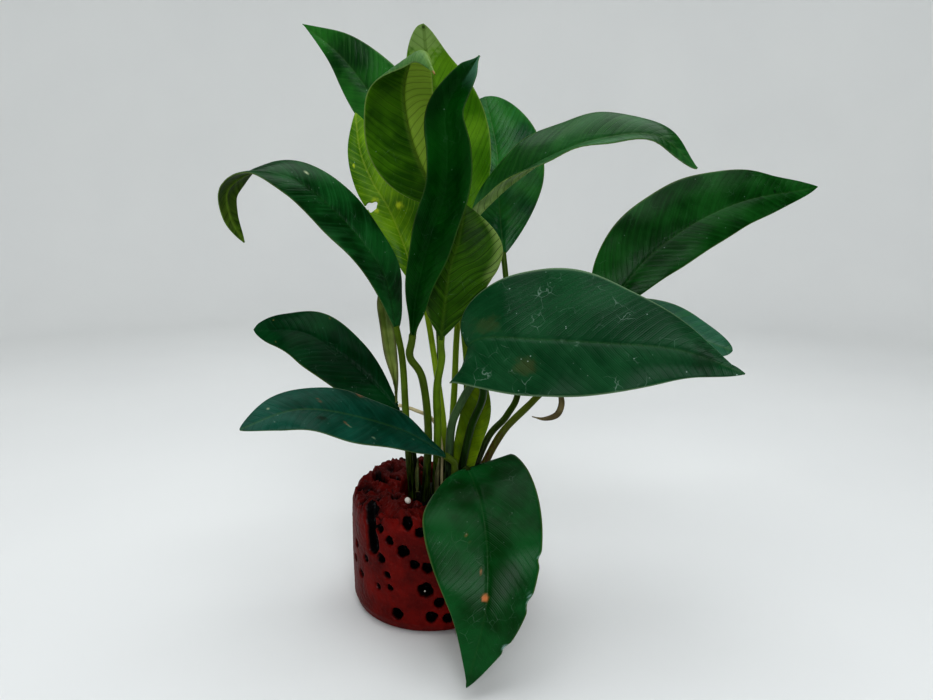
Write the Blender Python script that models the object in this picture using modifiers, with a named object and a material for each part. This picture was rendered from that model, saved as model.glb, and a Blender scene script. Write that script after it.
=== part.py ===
# Anubias on a stone: a water plant whose crown sits in the hollow of a red pitted block.
# Every leaf is a bent, solidified grid and every stem is a tapered tube.
# Lengths in the tables are millimetres. The origin is the middle of the stone's flat base,
# +Z is up and the plant is seen from -Y.

import math
import random

import bpy
import bmesh
from mathutils import Matrix, Vector, noise

MM = 0.001
COLLECTION_NAME = "anubias_on_stone"

# Stone
STONE_RADIUS = 32.0
STONE_HEIGHT = 48.5
FOOT_RADIUS = 28.0
STONE_SEGMENTS = 40
WELL_CENTRE = (5.0, -2.0)
WELL_RADIUS = 17.0
WELL_FLOOR = 29.0
# (x, y, height, radius) of the larger lumps on the broken top
TOP_LUMPS = ((-23, 8, 3.0, 5), (-15, 21, 3.5, 8), (14, 25, 2.0, 7), (29, 5, 1.5, 5), (-9, -25, 1.5, 6))
# (angle round the stone in degrees, height, radius) of the pits in front
FRONT_PITS = (
    (235, 41, 1.5), (243, 37, 1.5), (253, 34, 2.1), (236, 29, 1.7), (261, 29, 1.6), (241, 23, 1.4),
    (221, 26, 1.3), (256, 44, 1.8), (265, 42, 1.8), (270, 28, 1.9), (268, 19, 2.6), (277, 14, 1.8),
    (248, 8, 2.1), (272, 8, 2.0), (233, 17, 1.2), (243, 18, 1.2), (214, 18, 1.5), (207, 29, 1.4),
    (204, 22, 1.4), (283, 7, 1.8),
)
# Groove that runs down from the top at the left front
GROOVE = ((223, 48, 2.4), (225, 43, 2.5), (227, 38.5, 2.1), (228.5, 33.5, 2.3))
SIDE_PITS = 12
SIDE_PIT_RADIUS = (1.3, 2.3)

# Crown of the plant, a low mound of rhizome in the well
CROWN_CENTRE = (5.0, -1.5, 39.0)
CROWN_HALF = (16.0, 12.0, 9.0)

BLADE_THICKNESS = 0.8
BLADE_GRID = (6, 9)
SMALL_BLADE_GRID = (4, 6)
BLADE_END = 0.7
STEM_STEP = 10.0
CROWN_GAP = 1.6
CLEARANCE = 0.6
LOBE_CLEARANCE = 2.2

# One entry for each leaf. "stalk" runs from the crown to the blade, and its first point has
# only x and y, because its height is that of the crown there. "rib" runs from the blade's base
# to its tip. "face" is where the upper side looks halfway up. "half" gives the two half widths,
# and "shape" for each half where it is widest and how full it is towards its base and its tip.
# "lift" folds each half up, "twist" turns the blade, both at base, middle and tip, in degrees.
# "lobe" is how far each half reaches back past the stem.
LEAVES = {
    "upper_left": dict(
        stalk=((2, 7), (2, 13, 79), (3, 18, 101), (0, 28, 131)), stem=2.4,
        rib=((-4, 36, 159), (-14, 40, 186), (-26, 44, 203), (-39, 48, 219), (-55, 52, 232)),
        face=(-0.35, -1, 0.35), half=(11, 16), shape=((0.42, 0.7, 1.15), (0.42, 0.7, 0.95))),
    "pale_tip": dict(
        stalk=((6.5, 4.5), (9, 7, 83), (10, 9, 105), (12, 13, 128)), stem=2.2,
        rib=((14, 18, 153), (14, 20, 167), (8, 21, 188), (0, 18, 208), (-2, 12, 223)),
        face=(0.1, 1, 0.1), half=(14, 11), shape=((0.5, 0.7, 0.75), (0.5, 0.7, 1.0))),
    "cupped": dict(
        stalk=((11, 2), (15, 1, 78), (14, -1, 99), (12, -4, 119), (9, -6, 141)), stem=2.2,
        rib=((4, -8, 158), (-4, -12, 176), (-7, -20, 192), (-3, -33, 201), (4, -45, 202), (10, -56, 194)),
        face=(-0.3, 1, 0.1), half=(15, 16), shape=((0.35, 0.6, 1.8), (0.33, 0.6, 1.9)),
        lift=((-35, -50, -30), (0, -15, -60))),
    "folded_upright": dict(
        stalk=((-2, -8), (-0.5, -12, 74), (-2, -19, 96), (-6, -23, 105)), stem=2.6,
        rib=((-5, -25, 112), (-3, -28, 128), (2, -32, 147), (7, -34, 161), (8, -35, 175),
             (8, -35, 188), (18, -35, 203)),
        face=(-0.1, -1, 0), half=(8.5, 13), shape=((0.55, 1.0, 0.5), (0.5, 1.0, 0.6)),
        lift=((40, 50, 40), (40, 55, 50))),
    "yellow_green": dict(
        stalk=((4, 0), (5, 0, 70), (2, 3, 94), (-2, 9, 117)), stem=2.2,
        rib=((-6, 12, 126), (-11, 16, 142), (-17, 20, 156), (-24, 24, 167), (-29, 28, 179), (-31, 32, 194)),
        face=(0.2, -1, 0.3), half=(8, 17), shape=((0.45, 0.7, 0.8), (0.45, 0.7, 0.8))),
    "middle": dict(
        stalk=((2, -6), (3, -11, 74), (3, -15, 91), (5, -18, 103)), stem=2.6,
        rib=((5, -20, 111), (8, -24, 135), (11, -24, 144), (14, -20, 154)),
        face=(0, 1, 0), half=(16, 10), shape=((0.72, 0.9, 0.6), (0.5, 0.9, 0.8))),
    "right_arching": dict(
        stalk=((11, 6), (12, 6, 64), (14, 5, 83), (14, 4, 102), (12, 4, 121), (13, 6, 138)), stem=2.2,
        rib=((16, 8, 151), (25, 6, 161), (35, 3, 169), (45, 0, 175), (61, -7, 181), (79, -13, 181),
             (93, -18, 170)),
        face=(0, -1.1, 1), half=(15, 7), shape=((0.38, 0.8, 0.95), (0.35, 0.3, 0.45)),
        lift=((0, 0, 0), (90, 30, 0)), twist=(10, 0, -15)),
    "back_right": dict(
        stalk=((15, 5), (23, 12, 63), (31, 17, 71), (36, 22, 82), (33, 32, 109)), stem=2.4,
        rib=((30, 38, 136), (28, 44, 160), (27, 48, 181), (22, 52, 203)),
        face=(0, -1, 0.3), half=(18, 20), shape=((0.55, 0.9, 0.5), (0.55, 0.9, 0.5))),
    "left_arching": dict(
        stalk=((-7.5, -5.5), (-9, -8, 73), (-10, -8, 99)), stem=2.4,
        rib=((-12, -8, 112), (-15, -10, 130), (-22, -12, 143), (-32, -14, 155), (-45, -18, 166),
             (-58, -20, 169), (-67, -21, 163), (-67, -21, 154), (-63, -20, 145)),
        face=(0.2, -0.9, 0.8), half=(9, 11), shape=((0.42, 0.7, 0.7), (0.5, 0.55, 0.9)), twist=(0, 0, 110)),
    "lower_left": dict(
        stalk=((8, -11), (9.5, -12, 59)), stem=2.6,
        rib=((7, -14, 64), (-8, -25, 78), (-26, -34, 87), (-43, -41, 91), (-59, -50, 87)),
        face=(0, -0.7, 1), half=(11, 10.5), shape=((0.5, 0.9, 0.75), (0.55, 1.0, 0.65))),
    "middle_left": dict(
        stalk=((-6, 0), (-8, 1, 64)), stem=2.2,
        rib=((-12, 2, 76), (-27, 7, 91), (-49, 13, 106), (-74, 20, 107)),
        face=(0, -0.8, 1), half=(14, 12), shape=((0.5, 0.7, 0.75), (0.62, 1.0, 0.4))),
    "broad_right": dict(
        stalk=((12, -5), (14, -13, 75), (20, -26, 93)), stem=2.6,
        rib=((17, -36, 113), (38, -42, 115), (59, -48, 115), (80, -54, 114), (98, -60, 108)),
        face=(0, -1, 0.5), half=(25, 19), shape=((0.28, 0.4, 1.6), (0.25, 0.35, 1.0)), lobe=(4, 13)),
    "far_right": dict(
        stalk=((17, 1.5), (20.5, 3.5, 53), (29, 8, 67), (42, 13, 79), (59, 17, 97)), stem=2.6,
        rib=((71, 20, 114), (92, 26, 139), (124, 34, 157), (164, 42, 165)),
        face=(0, -1, 0.6), half=(21, 13), shape=((0.4, 0.4, 0.85), (0.42, 0.7, 0.8))),
    "tucked_right": dict(
        stalk=((7, -4), (8, -8, 73), (12, -12, 85), (18, -15, 96)), stem=2.8,
        rib=((26, -19, 109), (54, -24, 116), (80, -30, 117), (103, -36, 110)),
        face=(0, -1, 0.6), half=(10.5, 11), shape=((0.5, 0.6, 0.8), (0.5, 0.6, 0.8))),
    "front_drooping": dict(
        stalk=((13, -9), (13.5, -15, 58)), stem=3.0,
        rib=((15, -22, 61), (19, -38, 56), (21, -52, 44), (20, -61, 28), (14, -66, 5)),
        face=(0, -1, 0.6), half=(20.5, 21), shape=((0.15, 0.05, 0.8), (0.3, 0.5, 1.2)), lobe=(7, 3)),
}

# Blades without a stem of their own, in the same form; "rib" starts where the piece starts
SMALL_BLADES = {
    "young_leaf": dict(
        rib=((14, -3.5, 50), (14, -5, 59), (16, -7, 69), (20, -9, 81), (21, -12, 96)),
        face=(0.5, 1, 0), half=(4, 4), shape=((0.5, 0.4, 0.8), (0.5, 0.4, 0.8))),
    "withered_leaf": dict(
        rib=((-13, -5, 83), (-14, -5, 95), (-15.5, -5, 108), (-17, -4, 122)),
        face=(0.3, -1, 0), half=(2.6, 2.6), shape=((0.75, 0.5, 0.4), (0.75, 0.5, 0.4)),
        lift=((60, 40, 30), (60, 40, 30))),
    "dried_bract": dict(
        rib=((50.7, 13.6, 85), (53, 13.5, 80), (53, 12.5, 76), (51, 12, 72.5), (46, 12, 71), (41, 12, 72)),
        face=(0, -1, 0.3), half=(1.3, 1.3), shape=((0.5, 0.5, 1.0), (0.5, 0.5, 1.0))),
    "left_sheath": dict(
        rib=((-5.2, -9.5, 48), (-5.2, -9.5, 55), (-4.8, -9, 62)),
        face=(0, -1, 0), half=(1.2, 1.2), shape=((0.5, 0.3, 0.9), (0.5, 0.3, 0.9))),
    "front_sheath": dict(
        rib=((2.5, -12, 48), (2.7, -12, 55), (3.5, -12, 63)),
        face=(0, -1, 0), half=(1.4, 1.4), shape=((0.5, 0.3, 0.9), (0.5, 0.3, 0.9))),
}

# Thin stalk of the withered leaf
WITHERED_STALK = ((4, -3.5, 52), (4, -4, 66), (1, -5, 76), (-6, -5, 80), (-12.3, -5, 82))
WITHERED_STALK_WIDTH = 1.4

COLOURS = {
    "leaf": ((0.02, 0.16, 0.03), 0.35),
    "stem": ((0.14, 0.22, 0.02), 0.4),
    "dry": ((0.3, 0.2, 0.06), 0.7),
    "rhizome": ((0.02, 0.02, 0.01), 0.6),
    "stone": ((0.22, 0.02, 0.015), 0.45),
}


def new_collection(name, parent):
    collection = bpy.data.collections.new(name)
    parent.children.link(collection)
    return collection


def make_material(name):
    colour, roughness = COLOURS[name]
    material = bpy.data.materials.new(name)
    material.use_nodes = True
    shader = material.node_tree.nodes["Principled BSDF"]
    shader.inputs["Base Color"].default_value = (*colour, 1)
    shader.inputs["Roughness"].default_value = roughness
    shader.inputs["Metallic"].default_value = 0
    return material


def add_object(name, data, material, collection):
    obj = bpy.data.objects.new(name, data)
    data.materials.append(material)
    collection.objects.link(obj)
    return obj


def mesh_from(bm, name):
    mesh = bpy.data.meshes.new(name)
    bm.to_mesh(mesh)
    bm.free()
    return mesh


class Path:
    """A smooth curve through hand-set points, measured along its length."""

    STEPS = 16

    def __init__(self, points):
        knots = [Vector(p) for p in points]
        knots = [2 * knots[0] - knots[1], *knots, 2 * knots[-1] - knots[-2]]
        self.points = []
        self.knot_index = []
        for i in range(1, len(knots) - 2):
            self.knot_index.append(len(self.points))
            for k in range(self.STEPS):
                self.points.append(self.between(knots[i - 1:i + 3], k / self.STEPS))
        self.knot_index.append(len(self.points))
        self.points.append(knots[-2])
        self.lengths = [0.0]
        for a, b in zip(self.points, self.points[1:]):
            self.lengths.append(self.lengths[-1] + (b - a).length)

    @staticmethod
    def between(four, t):
        a, b, c, d = four
        return 0.5 * (2 * b + (c - a) * t + (2 * a - 5 * b + 4 * c - d) * t ** 2 + (3 * b - a - 3 * c + d) * t ** 3)

    def length(self):
        return self.lengths[-1]

    def knot_length(self, index):
        return self.lengths[self.knot_index[index]]

    def at(self, distance):
        distance = min(max(distance, 0.0), self.length())
        for i, end in enumerate(self.lengths[1:]):
            if distance <= end:
                start = self.lengths[i]
                return self.points[i].lerp(self.points[i + 1], (distance - start) / (end - start))
        return self.points[-1].copy()

    def tangent(self, distance):
        step = 0.02 * self.length()
        return (self.at(distance + step) - self.at(distance - step)).normalized()


def eased(values, t):
    """Value at t of base, middle and tip values, with soft changes."""
    base, middle, tip = values
    part = 2 * t if t < 0.5 else 2 * t - 1
    part = part * part * (3 - 2 * part)
    return base + (middle - base) * part if t < 0.5 else middle + (tip - middle) * part


def half_width(t, width, shape):
    widest, base_power, tip_power = shape
    if t < widest:
        return width * math.sin(math.pi / 2 * max(t, 0) / widest) ** base_power
    return width * max(math.cos(math.pi / 2 * (t - widest) / (1 - widest)), 0) ** tip_power


def blade_normals(path, start, rows, face, twist):
    """Upper-side directions along the rib, carried from the middle so that an arch turns them."""
    span = path.length() - start
    tangents = [path.tangent(start + t * span) for t in rows]
    middle = min(range(len(rows)), key=lambda i: abs(rows[i] - 0.5))
    normals = [None] * len(rows)
    facing = Vector(face)
    normals[middle] = (facing - tangents[middle] * facing.dot(tangents[middle])).normalized()
    for i in [*range(middle + 1, len(rows)), *range(middle - 1, -1, -1)]:
        before = normals[i - 1] if i > middle else normals[i + 1]
        normals[i] = (before - tangents[i] * before.dot(tangents[i])).normalized()
    for i, t in enumerate(rows):
        normals[i] = Matrix.Rotation(math.radians(eased(twist, t)), 3, tangents[i]) @ normals[i]
    return tangents, normals


def bend_grid(bm, leaf, path, start):
    """Move the grid's points, which span -1 to 1 across and 0 to 1 along, onto the leaf."""
    span = path.length() - start
    rows = sorted({round(v.co.y, 6) for v in bm.verts})
    tangents, normals = blade_normals(path, start, rows, leaf["face"], leaf.get("twist", (0, 0, 0)))
    frames = {row: (path.at(start + row * span), t, n) for row, t, n in zip(rows, tangents, normals)}
    flat = ((0, 0, 0), (0, 0, 0))
    for vertex in bm.verts:
        t = round(vertex.co.y, 6)
        across = vertex.co.x
        half = 1 if across > 0 else 0
        centre, tangent, normal = frames[t]
        side = tangent.cross(normal)
        width = half_width(t, leaf["half"][half], leaf["shape"][half])
        angle = math.radians(eased(leaf.get("lift", flat)[half], t))
        reach = abs(across) * max(width, BLADE_END)
        fullness = width / leaf["half"][half]
        back = leaf.get("lobe", (0, 0))[half] * across ** 2 * max(0, 1 - t / 0.35) ** 2 * fullness
        outward = side * (1 if half else -1) * math.cos(angle) + normal * math.sin(angle)
        vertex.co = (centre + outward * reach - tangent * back) * MM


def make_blade(name, leaf, path, start, grid, material, collection):
    bm = bmesh.new()
    bmesh.ops.create_grid(bm, x_segments=grid[0], y_segments=grid[1], size=1)
    for vertex in bm.verts:
        vertex.co.y = 0.5 - 0.5 * math.cos(math.pi * (vertex.co.y + 1) / 2)
    bend_grid(bm, leaf, path, start)
    obj = add_object(name, mesh_from(bm, name), material, collection)
    solidify = obj.modifiers.new("thickness", "SOLIDIFY")
    solidify.thickness = BLADE_THICKNESS * MM
    solidify.offset = 0
    for polygon in obj.data.polygons:
        polygon.use_smooth = True
    return obj


def make_tube(name, path, start, end, widths, material, collection):
    """A tapered tube along part of a path; widths are its diameters at the two ends."""
    count = max(4, round((end - start) / STEM_STEP) + 1)
    curve = bpy.data.curves.new(name, "CURVE")
    curve.dimensions = "3D"
    curve.bevel_depth = MM / 2
    curve.bevel_resolution = 2
    curve.use_fill_caps = True
    spline = curve.splines.new("POLY")
    spline.points.add(count - 1)
    for i, point in enumerate(spline.points):
        t = i / (count - 1)
        point.co = (*(path.at(start + t * (end - start)) * MM), 1)
        point.radius = widths[0] + (widths[1] - widths[0]) * t
    return add_object(name, curve, material, collection)


def crown_height(x, y):
    """Height of the rhizome's top at a place in the well."""
    across = ((x - CROWN_CENTRE[0]) / CROWN_HALF[0]) ** 2 + ((y - CROWN_CENTRE[1]) / CROWN_HALF[1]) ** 2
    return CROWN_CENTRE[2] + CROWN_HALF[2] * math.sqrt(max(1 - across, 0))


def make_leaf(name, leaf, materials, collection):
    x, y = leaf["stalk"][0]
    foot = (x, y, crown_height(x, y) + CROWN_GAP)
    path = Path((foot, *leaf["stalk"][1:], *leaf["rib"]))
    blade_start = path.knot_length(len(leaf["stalk"]))
    stem_end = blade_start - (LOBE_CLEARANCE if "lobe" in leaf else CLEARANCE)
    make_tube("stem_" + name, path, 0, stem_end, (leaf["stem"] * 1.3, leaf["stem"]), materials["stem"],
              collection)
    make_blade("leaf_" + name, leaf, path, blade_start, BLADE_GRID, materials["leaf"], collection)


def make_small_blades(materials, collection):
    for name, leaf in SMALL_BLADES.items():
        material = materials["leaf" if name == "young_leaf" else "dry"]
        make_blade(name, leaf, Path(leaf["rib"]), 0, SMALL_BLADE_GRID, material, collection)


def make_withered_stalk(materials, collection):
    path = Path(WITHERED_STALK)
    width = WITHERED_STALK_WIDTH
    make_tube("withered_stalk", path, 0, path.length(), (width, width), materials["dry"], collection)


def make_rhizome(material, collection):
    bm = bmesh.new()
    bmesh.ops.create_icosphere(bm, subdivisions=2, radius=1)
    for vertex in bm.verts:
        bump = 1 - 0.05 * abs(noise.noise(vertex.co * 3))
        vertex.co = Vector(c + h * v * bump for c, h, v in zip(CROWN_CENTRE, CROWN_HALF, vertex.co)) * MM
    return add_object("rhizome", mesh_from(bm, "rhizome"), material, collection)


def roughen_top(point):
    """Push the stone's upper part into lumps and ledges; the side and the base stay smooth."""
    amount = min(max((point.z / MM - 36) / 10, 0), 1)
    if not amount:
        return point
    place = point / MM
    lift = 2.4 * noise.noise(place * 0.11) + 1.5 * noise.noise(place * 0.29)
    for x, y, height, radius in TOP_LUMPS:
        distance = math.hypot(place.x - x, place.y - y)
        lift += height * math.exp(-(distance / radius) ** 2)
    pull = 1 + 0.035 * amount * noise.noise(place * 0.2 + Vector((9, 0, 0)))
    return Vector((place.x * pull, place.y * pull, place.z + lift * amount)) * MM


def stone_profile():
    """Radius and height from the top's middle, out and down the side to the base's middle."""
    top = [(radius, STONE_HEIGHT) for radius in (0, 6, 12, 16, 19, 22, 25, 28)]
    shoulder = [(30.3, STONE_HEIGHT - 1.5), (31.6, STONE_HEIGHT - 4.5)]
    side = [(STONE_RADIUS, 37), (STONE_RADIUS + 0.2, 21), (STONE_RADIUS, 5)]
    foot = [(STONE_RADIUS - 1.2, 1.7), (FOOT_RADIUS, 0), (0, 0)]
    return top + shoulder + side + foot


def make_stone_body(material, collection):
    bm = bmesh.new()
    ring = [bm.verts.new((radius * MM, 0, height * MM)) for radius, height in stone_profile()]
    edges = [bm.edges.new(pair) for pair in zip(ring, ring[1:])]
    bmesh.ops.spin(bm, geom=ring + edges, cent=(0, 0, 0), axis=(0, 0, 1), angle=math.tau,
                   steps=STONE_SEGMENTS, use_merge=True)
    bmesh.ops.remove_doubles(bm, verts=bm.verts, dist=0.01 * MM)
    for vertex in bm.verts:
        vertex.co = roughen_top(vertex.co)
    bmesh.ops.triangulate(bm, faces=bm.faces)
    bmesh.ops.recalc_face_normals(bm, faces=bm.faces)
    return add_object("stone", mesh_from(bm, "stone"), material, collection)


def add_cut(stone, cutter):
    cut = stone.modifiers.new(cutter.name, "BOOLEAN")
    cut.operation = "DIFFERENCE"
    cut.solver = "EXACT"
    cut.object = cutter


def make_cutter(name, bm, material, collection):
    bmesh.ops.recalc_face_normals(bm, faces=bm.faces)
    cutter = add_object(name, mesh_from(bm, name), material, collection)
    cutter.hide_render = True
    cutter.display_type = "WIRE"
    return cutter


def make_well_cutter(material, collection):
    bm = bmesh.new()
    depth = STONE_HEIGHT + 12 - WELL_FLOOR
    bmesh.ops.create_cone(bm, cap_ends=True, segments=28, radius1=(WELL_RADIUS - 0.6) * MM,
                          radius2=(WELL_RADIUS + 2.2) * MM, depth=depth * MM)
    bmesh.ops.translate(bm, verts=bm.verts, vec=Vector((*WELL_CENTRE, WELL_FLOOR + depth / 2)) * MM)
    return make_cutter("well_cutter", bm, material, collection)


def add_pit(bm, angle, height, radius):
    """A ball whose middle lies just inside the stone's side."""
    turn = math.radians(angle)
    out = STONE_RADIUS - 0.25 * radius
    centre = Vector((out * math.cos(turn), out * math.sin(turn), height)) * MM
    bmesh.ops.create_uvsphere(bm, u_segments=6, v_segments=4, radius=radius * MM,
                              matrix=Matrix.Translation(centre) @ Matrix.Rotation(turn, 4, "Z"))


def scattered_pits():
    """Pits round the sides and back, kept apart from each other."""
    generator = random.Random(7)
    pits = []
    while len(pits) < SIDE_PITS:
        pit = (generator.uniform(292, 558), generator.uniform(7, 38), generator.uniform(*SIDE_PIT_RADIUS))
        gaps = [math.hypot((pit[0] - p[0]) * math.radians(STONE_RADIUS), pit[1] - p[1]) for p in pits]
        if all(gap > 7 for gap in gaps):
            pits.append(pit)
    return pits


def make_pit_cutter(name, pits, material, collection):
    bm = bmesh.new()
    for angle, height, radius in pits:
        add_pit(bm, angle, height, radius)
    return make_cutter(name, bm, material, collection)


def make_stone(material, collection, cutters):
    stone = make_stone_body(material, collection)
    add_cut(stone, make_well_cutter(material, cutters))
    add_cut(stone, make_pit_cutter("pit_cutter", (*FRONT_PITS, *scattered_pits()), material, cutters))
    add_cut(stone, make_pit_cutter("groove_cutter_a", GROOVE[0::2], material, cutters))
    add_cut(stone, make_pit_cutter("groove_cutter_b", GROOVE[1::2], material, cutters))
    return stone


def main():
    for obj in list(bpy.data.objects):
        bpy.data.objects.remove(obj, do_unlink=True)
    parts = new_collection(COLLECTION_NAME, bpy.context.scene.collection)
    cutters = new_collection("cutters", bpy.context.scene.collection)
    materials = {name: make_material(name) for name in COLOURS}
    make_stone(materials["stone"], parts, cutters)
    make_rhizome(materials["rhizome"], parts)
    for name, leaf in LEAVES.items():
        make_leaf(name, leaf, materials, parts)
    make_small_blades(materials, parts)
    make_withered_stalk(materials, parts)


main()
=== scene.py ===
# A broad-leaved water plant on a red pitted stone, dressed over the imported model.
# Sizes in the dictionaries are millimetres. The viewer of the photograph stands towards -Y.
import math
import random
import bpy
import bmesh
from mathutils import Matrix, Vector, noise


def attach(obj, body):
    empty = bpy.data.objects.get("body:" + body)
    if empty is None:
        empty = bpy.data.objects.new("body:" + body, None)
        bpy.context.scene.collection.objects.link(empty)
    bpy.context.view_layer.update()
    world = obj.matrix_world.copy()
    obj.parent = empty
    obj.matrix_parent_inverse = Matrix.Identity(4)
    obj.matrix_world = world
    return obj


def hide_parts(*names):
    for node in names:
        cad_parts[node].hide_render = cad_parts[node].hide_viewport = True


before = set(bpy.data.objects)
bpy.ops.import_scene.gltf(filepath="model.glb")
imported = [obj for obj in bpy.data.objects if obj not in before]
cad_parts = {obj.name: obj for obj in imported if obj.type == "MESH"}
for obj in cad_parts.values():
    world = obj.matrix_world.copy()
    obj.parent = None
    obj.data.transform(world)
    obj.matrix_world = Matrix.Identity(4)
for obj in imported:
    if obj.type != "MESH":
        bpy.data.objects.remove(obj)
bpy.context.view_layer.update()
scene = bpy.context.scene
mm = 0.001
noise.seed_set(14)    # without it the stone's crags would come out differently in each run
colourMix = {"data_type": "RGBA"}    # settings that many nodes share
softStep = {"interpolation_type": "SMOOTHSTEP"}


def linear(hexColour):
    # sRGB "#rrggbb" to the linear values that nodes want
    parts = [int(hexColour[i:i + 2], 16) / 255 for i in (1, 3, 5)]
    return (*[p / 12.92 if p <= 0.04045 else ((p + 0.055) / 1.055) ** 2.4 for p in parts], 1)


def feed(tree, node, inputs):
    # fills a node's inputs, by name or in their order, with a number, a hex colour, another node's
    # output, or a whole node, whose first output in use is taken
    for key, value in inputs.items() if isinstance(inputs, dict) else enumerate(inputs):
        socket = node.inputs[key] if isinstance(key, int) else next(
            s for s in node.inputs if s.name == key and s.enabled)
        if isinstance(value, bpy.types.Node):
            value = next(s for s in value.outputs if s.enabled)
        if isinstance(value, bpy.types.NodeSocket):
            tree.links.new(value, socket)
        else:
            socket.default_value = linear(value) if isinstance(value, str) else value


def addNode(tree, kind, settings, inputs=()):
    node = tree.nodes.new("ShaderNode" + kind)
    for key, value in settings.items():
        setattr(node, key, value)
    feed(tree, node, inputs)
    return node


def newMaterial(name):
    # the material, its nodes, its shader and the place on the piece that its patterns read
    material = bpy.data.materials.new(name)
    material.use_nodes = True
    tree = material.node_tree
    return material, tree, tree.nodes["Principled BSDF"], addNode(tree, "TexCoord", {}).outputs["Object"]


def smoothMesh(name, bm):
    mesh = bpy.data.meshes.new(name)
    bm.to_mesh(mesh)
    bm.free()
    for polygon in mesh.polygons:
        polygon.use_smooth = True
    return mesh


def placePiece(name, data, materials, node):
    piece = bpy.data.objects.new(name, data)
    for material in materials:
        data.materials.append(material)
    scene.collection.objects.link(piece)
    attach(piece, "root")
    if node:
        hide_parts(node)
    return piece


def finishPiece(name, bm, materials, node):
    return placePiece(name, smoothMesh(name, bm), materials, node)


def soft(value):
    value = min(max(value, 0.0), 1.0)
    return value * value * (3 - 2 * value)


def spinRound(bm, steps, join):
    # a line in the XZ plane becomes a closed surface round the Z axis
    bmesh.ops.spin(bm, geom=bm.verts[:] + bm.edges[:], cent=(0, 0, 0), axis=(0, 0, 1), angle=math.tau,
                   steps=steps, use_merge=True)
    bmesh.ops.remove_doubles(bm, verts=bm.verts, dist=join)
    bmesh.ops.recalc_face_normals(bm, faces=bm.faces)


view = {"place": (14, -265, 159), "lens": 27, "filmWidth": 36, "down": 12, "near": 10}
camera = bpy.data.objects.new("camera", bpy.data.cameras.new("camera"))
camera.data.lens = view["lens"]
camera.data.sensor_width = view["filmWidth"]
camera.data.clip_start = view["near"] * mm
camera.location = Vector(view["place"]) * mm
camera.rotation_euler = (math.radians(90 - view["down"]), 0, 0)
scene.collection.objects.link(camera)
scene.camera = camera

lamps = {
    "skyPanel": {"place": (0, 60, 900), "size": 900, "watts": 6.6, "colour": "#f8fbff"},
    "frontPanel": {"place": (100, -900, 600), "size": 500, "watts": 4.75, "colour": "#f6f9ff"},
    "leftPanel": {"place": (-900, -80, 520), "size": 500, "watts": 0.5, "colour": "#ffffff"},
}
lampsAimAt = (10, -10, 90)
for name, lamp in lamps.items():
    light = bpy.data.lights.new(name, "AREA")
    light.shape = "SQUARE"
    light.size = lamp["size"] * mm
    light.energy = lamp["watts"]
    light.color = linear(lamp["colour"])[:3]
    holder = bpy.data.objects.new(name, light)
    holder.location = Vector(lamp["place"]) * mm
    aim = Vector(lampsAimAt) * mm - holder.location
    holder.rotation_euler = aim.to_track_quat("-Z", "Y").to_euler()
    scene.collection.objects.link(holder)

world = bpy.data.worlds.new("paleRoom")
world.use_nodes = True
feed(world.node_tree, world.node_tree.nodes["Background"], {"Color": "#eef1f2", "Strength": 0.12})
scene.world = world
scene.view_settings.view_transform = "Standard"
scene.view_settings.look = "Medium High Contrast"

# a round pale bowl: floor, bend and wall all about the plant, with the panels inside it; the
# wall turns dark over the heights in dusk
backdrop = {"centre": (0, -200), "radius": 1150, "bend": 260, "bendSteps": 16, "height": 1500,
            "dusk": (520, 760), "segments": 128}


def paintedBoard():
    # matt painted board: pale grey with the faintest unevenness from the roller, and dark grey high up,
    # where the camera doesn't look, so that the leaves' wet skin mirrors the panels and not a white room
    material, tree, shader, place = newMaterial("matt white painted board")
    cloud = addNode(tree, "TexNoise", {}, {"Vector": place, "Scale": 6})
    tone = addNode(tree, "Mix", colourMix, {"Factor": cloud, "A": "#dcdddb", "B": "#e4e5e2"})
    height = addNode(tree, "SeparateXYZ", {}, (place,)).outputs["Z"]
    high = addNode(tree, "MapRange", softStep, (height, *[edge * mm for edge in backdrop["dusk"]]))
    board = addNode(tree, "Mix", colourMix, {"Factor": high, "A": tone, "B": "#3a3d3f"})
    feed(tree, shader, {"Base Color": board, "Roughness": 0.8})
    return material


def makeBackdrop():
    bm = bmesh.new()
    bend, steps = backdrop["bend"], backdrop["bendSteps"]
    floorRadius = backdrop["radius"] - bend
    line = [(0, 0), (floorRadius, 0)]
    for k in range(1, steps + 1):
        angle = math.pi / 2 * k / steps
        line.append((floorRadius + bend * math.sin(angle), bend * (1 - math.cos(angle))))
    line.append((backdrop["radius"], backdrop["height"]))
    chain = [bm.verts.new((radius * mm, 0, height * mm)) for radius, height in line]
    for pair in zip(chain, chain[1:]):
        bm.edges.new(pair)
    spinRound(bm, backdrop["segments"], 0.01 * mm)
    bmesh.ops.reverse_faces(bm, faces=bm.faces)    # the bowl is seen from inside
    bmesh.ops.translate(bm, verts=bm.verts, vec=Vector((*backdrop["centre"], 0)) * mm)
    floor = bpy.data.objects.new("backdrop", smoothMesh("backdrop", bm))
    floor.data.materials.append(paintedBoard())
    scene.collection.objects.link(floor)


makeBackdrop()
print("camera, lights and floor are in place")


crown = {"centre": (5.0, -1.5, 39.0), "half": (16.0, 12.0, 9.0)}


def crownHeight(x, y):
    (middleX, middleY, middleZ), (halfX, halfY, halfZ) = crown["centre"], crown["half"]
    across = ((x - middleX) / halfX) ** 2 + ((y - middleY) / halfY) ** 2
    return middleZ + halfZ * math.sqrt(max(1 - across, 0))


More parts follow.
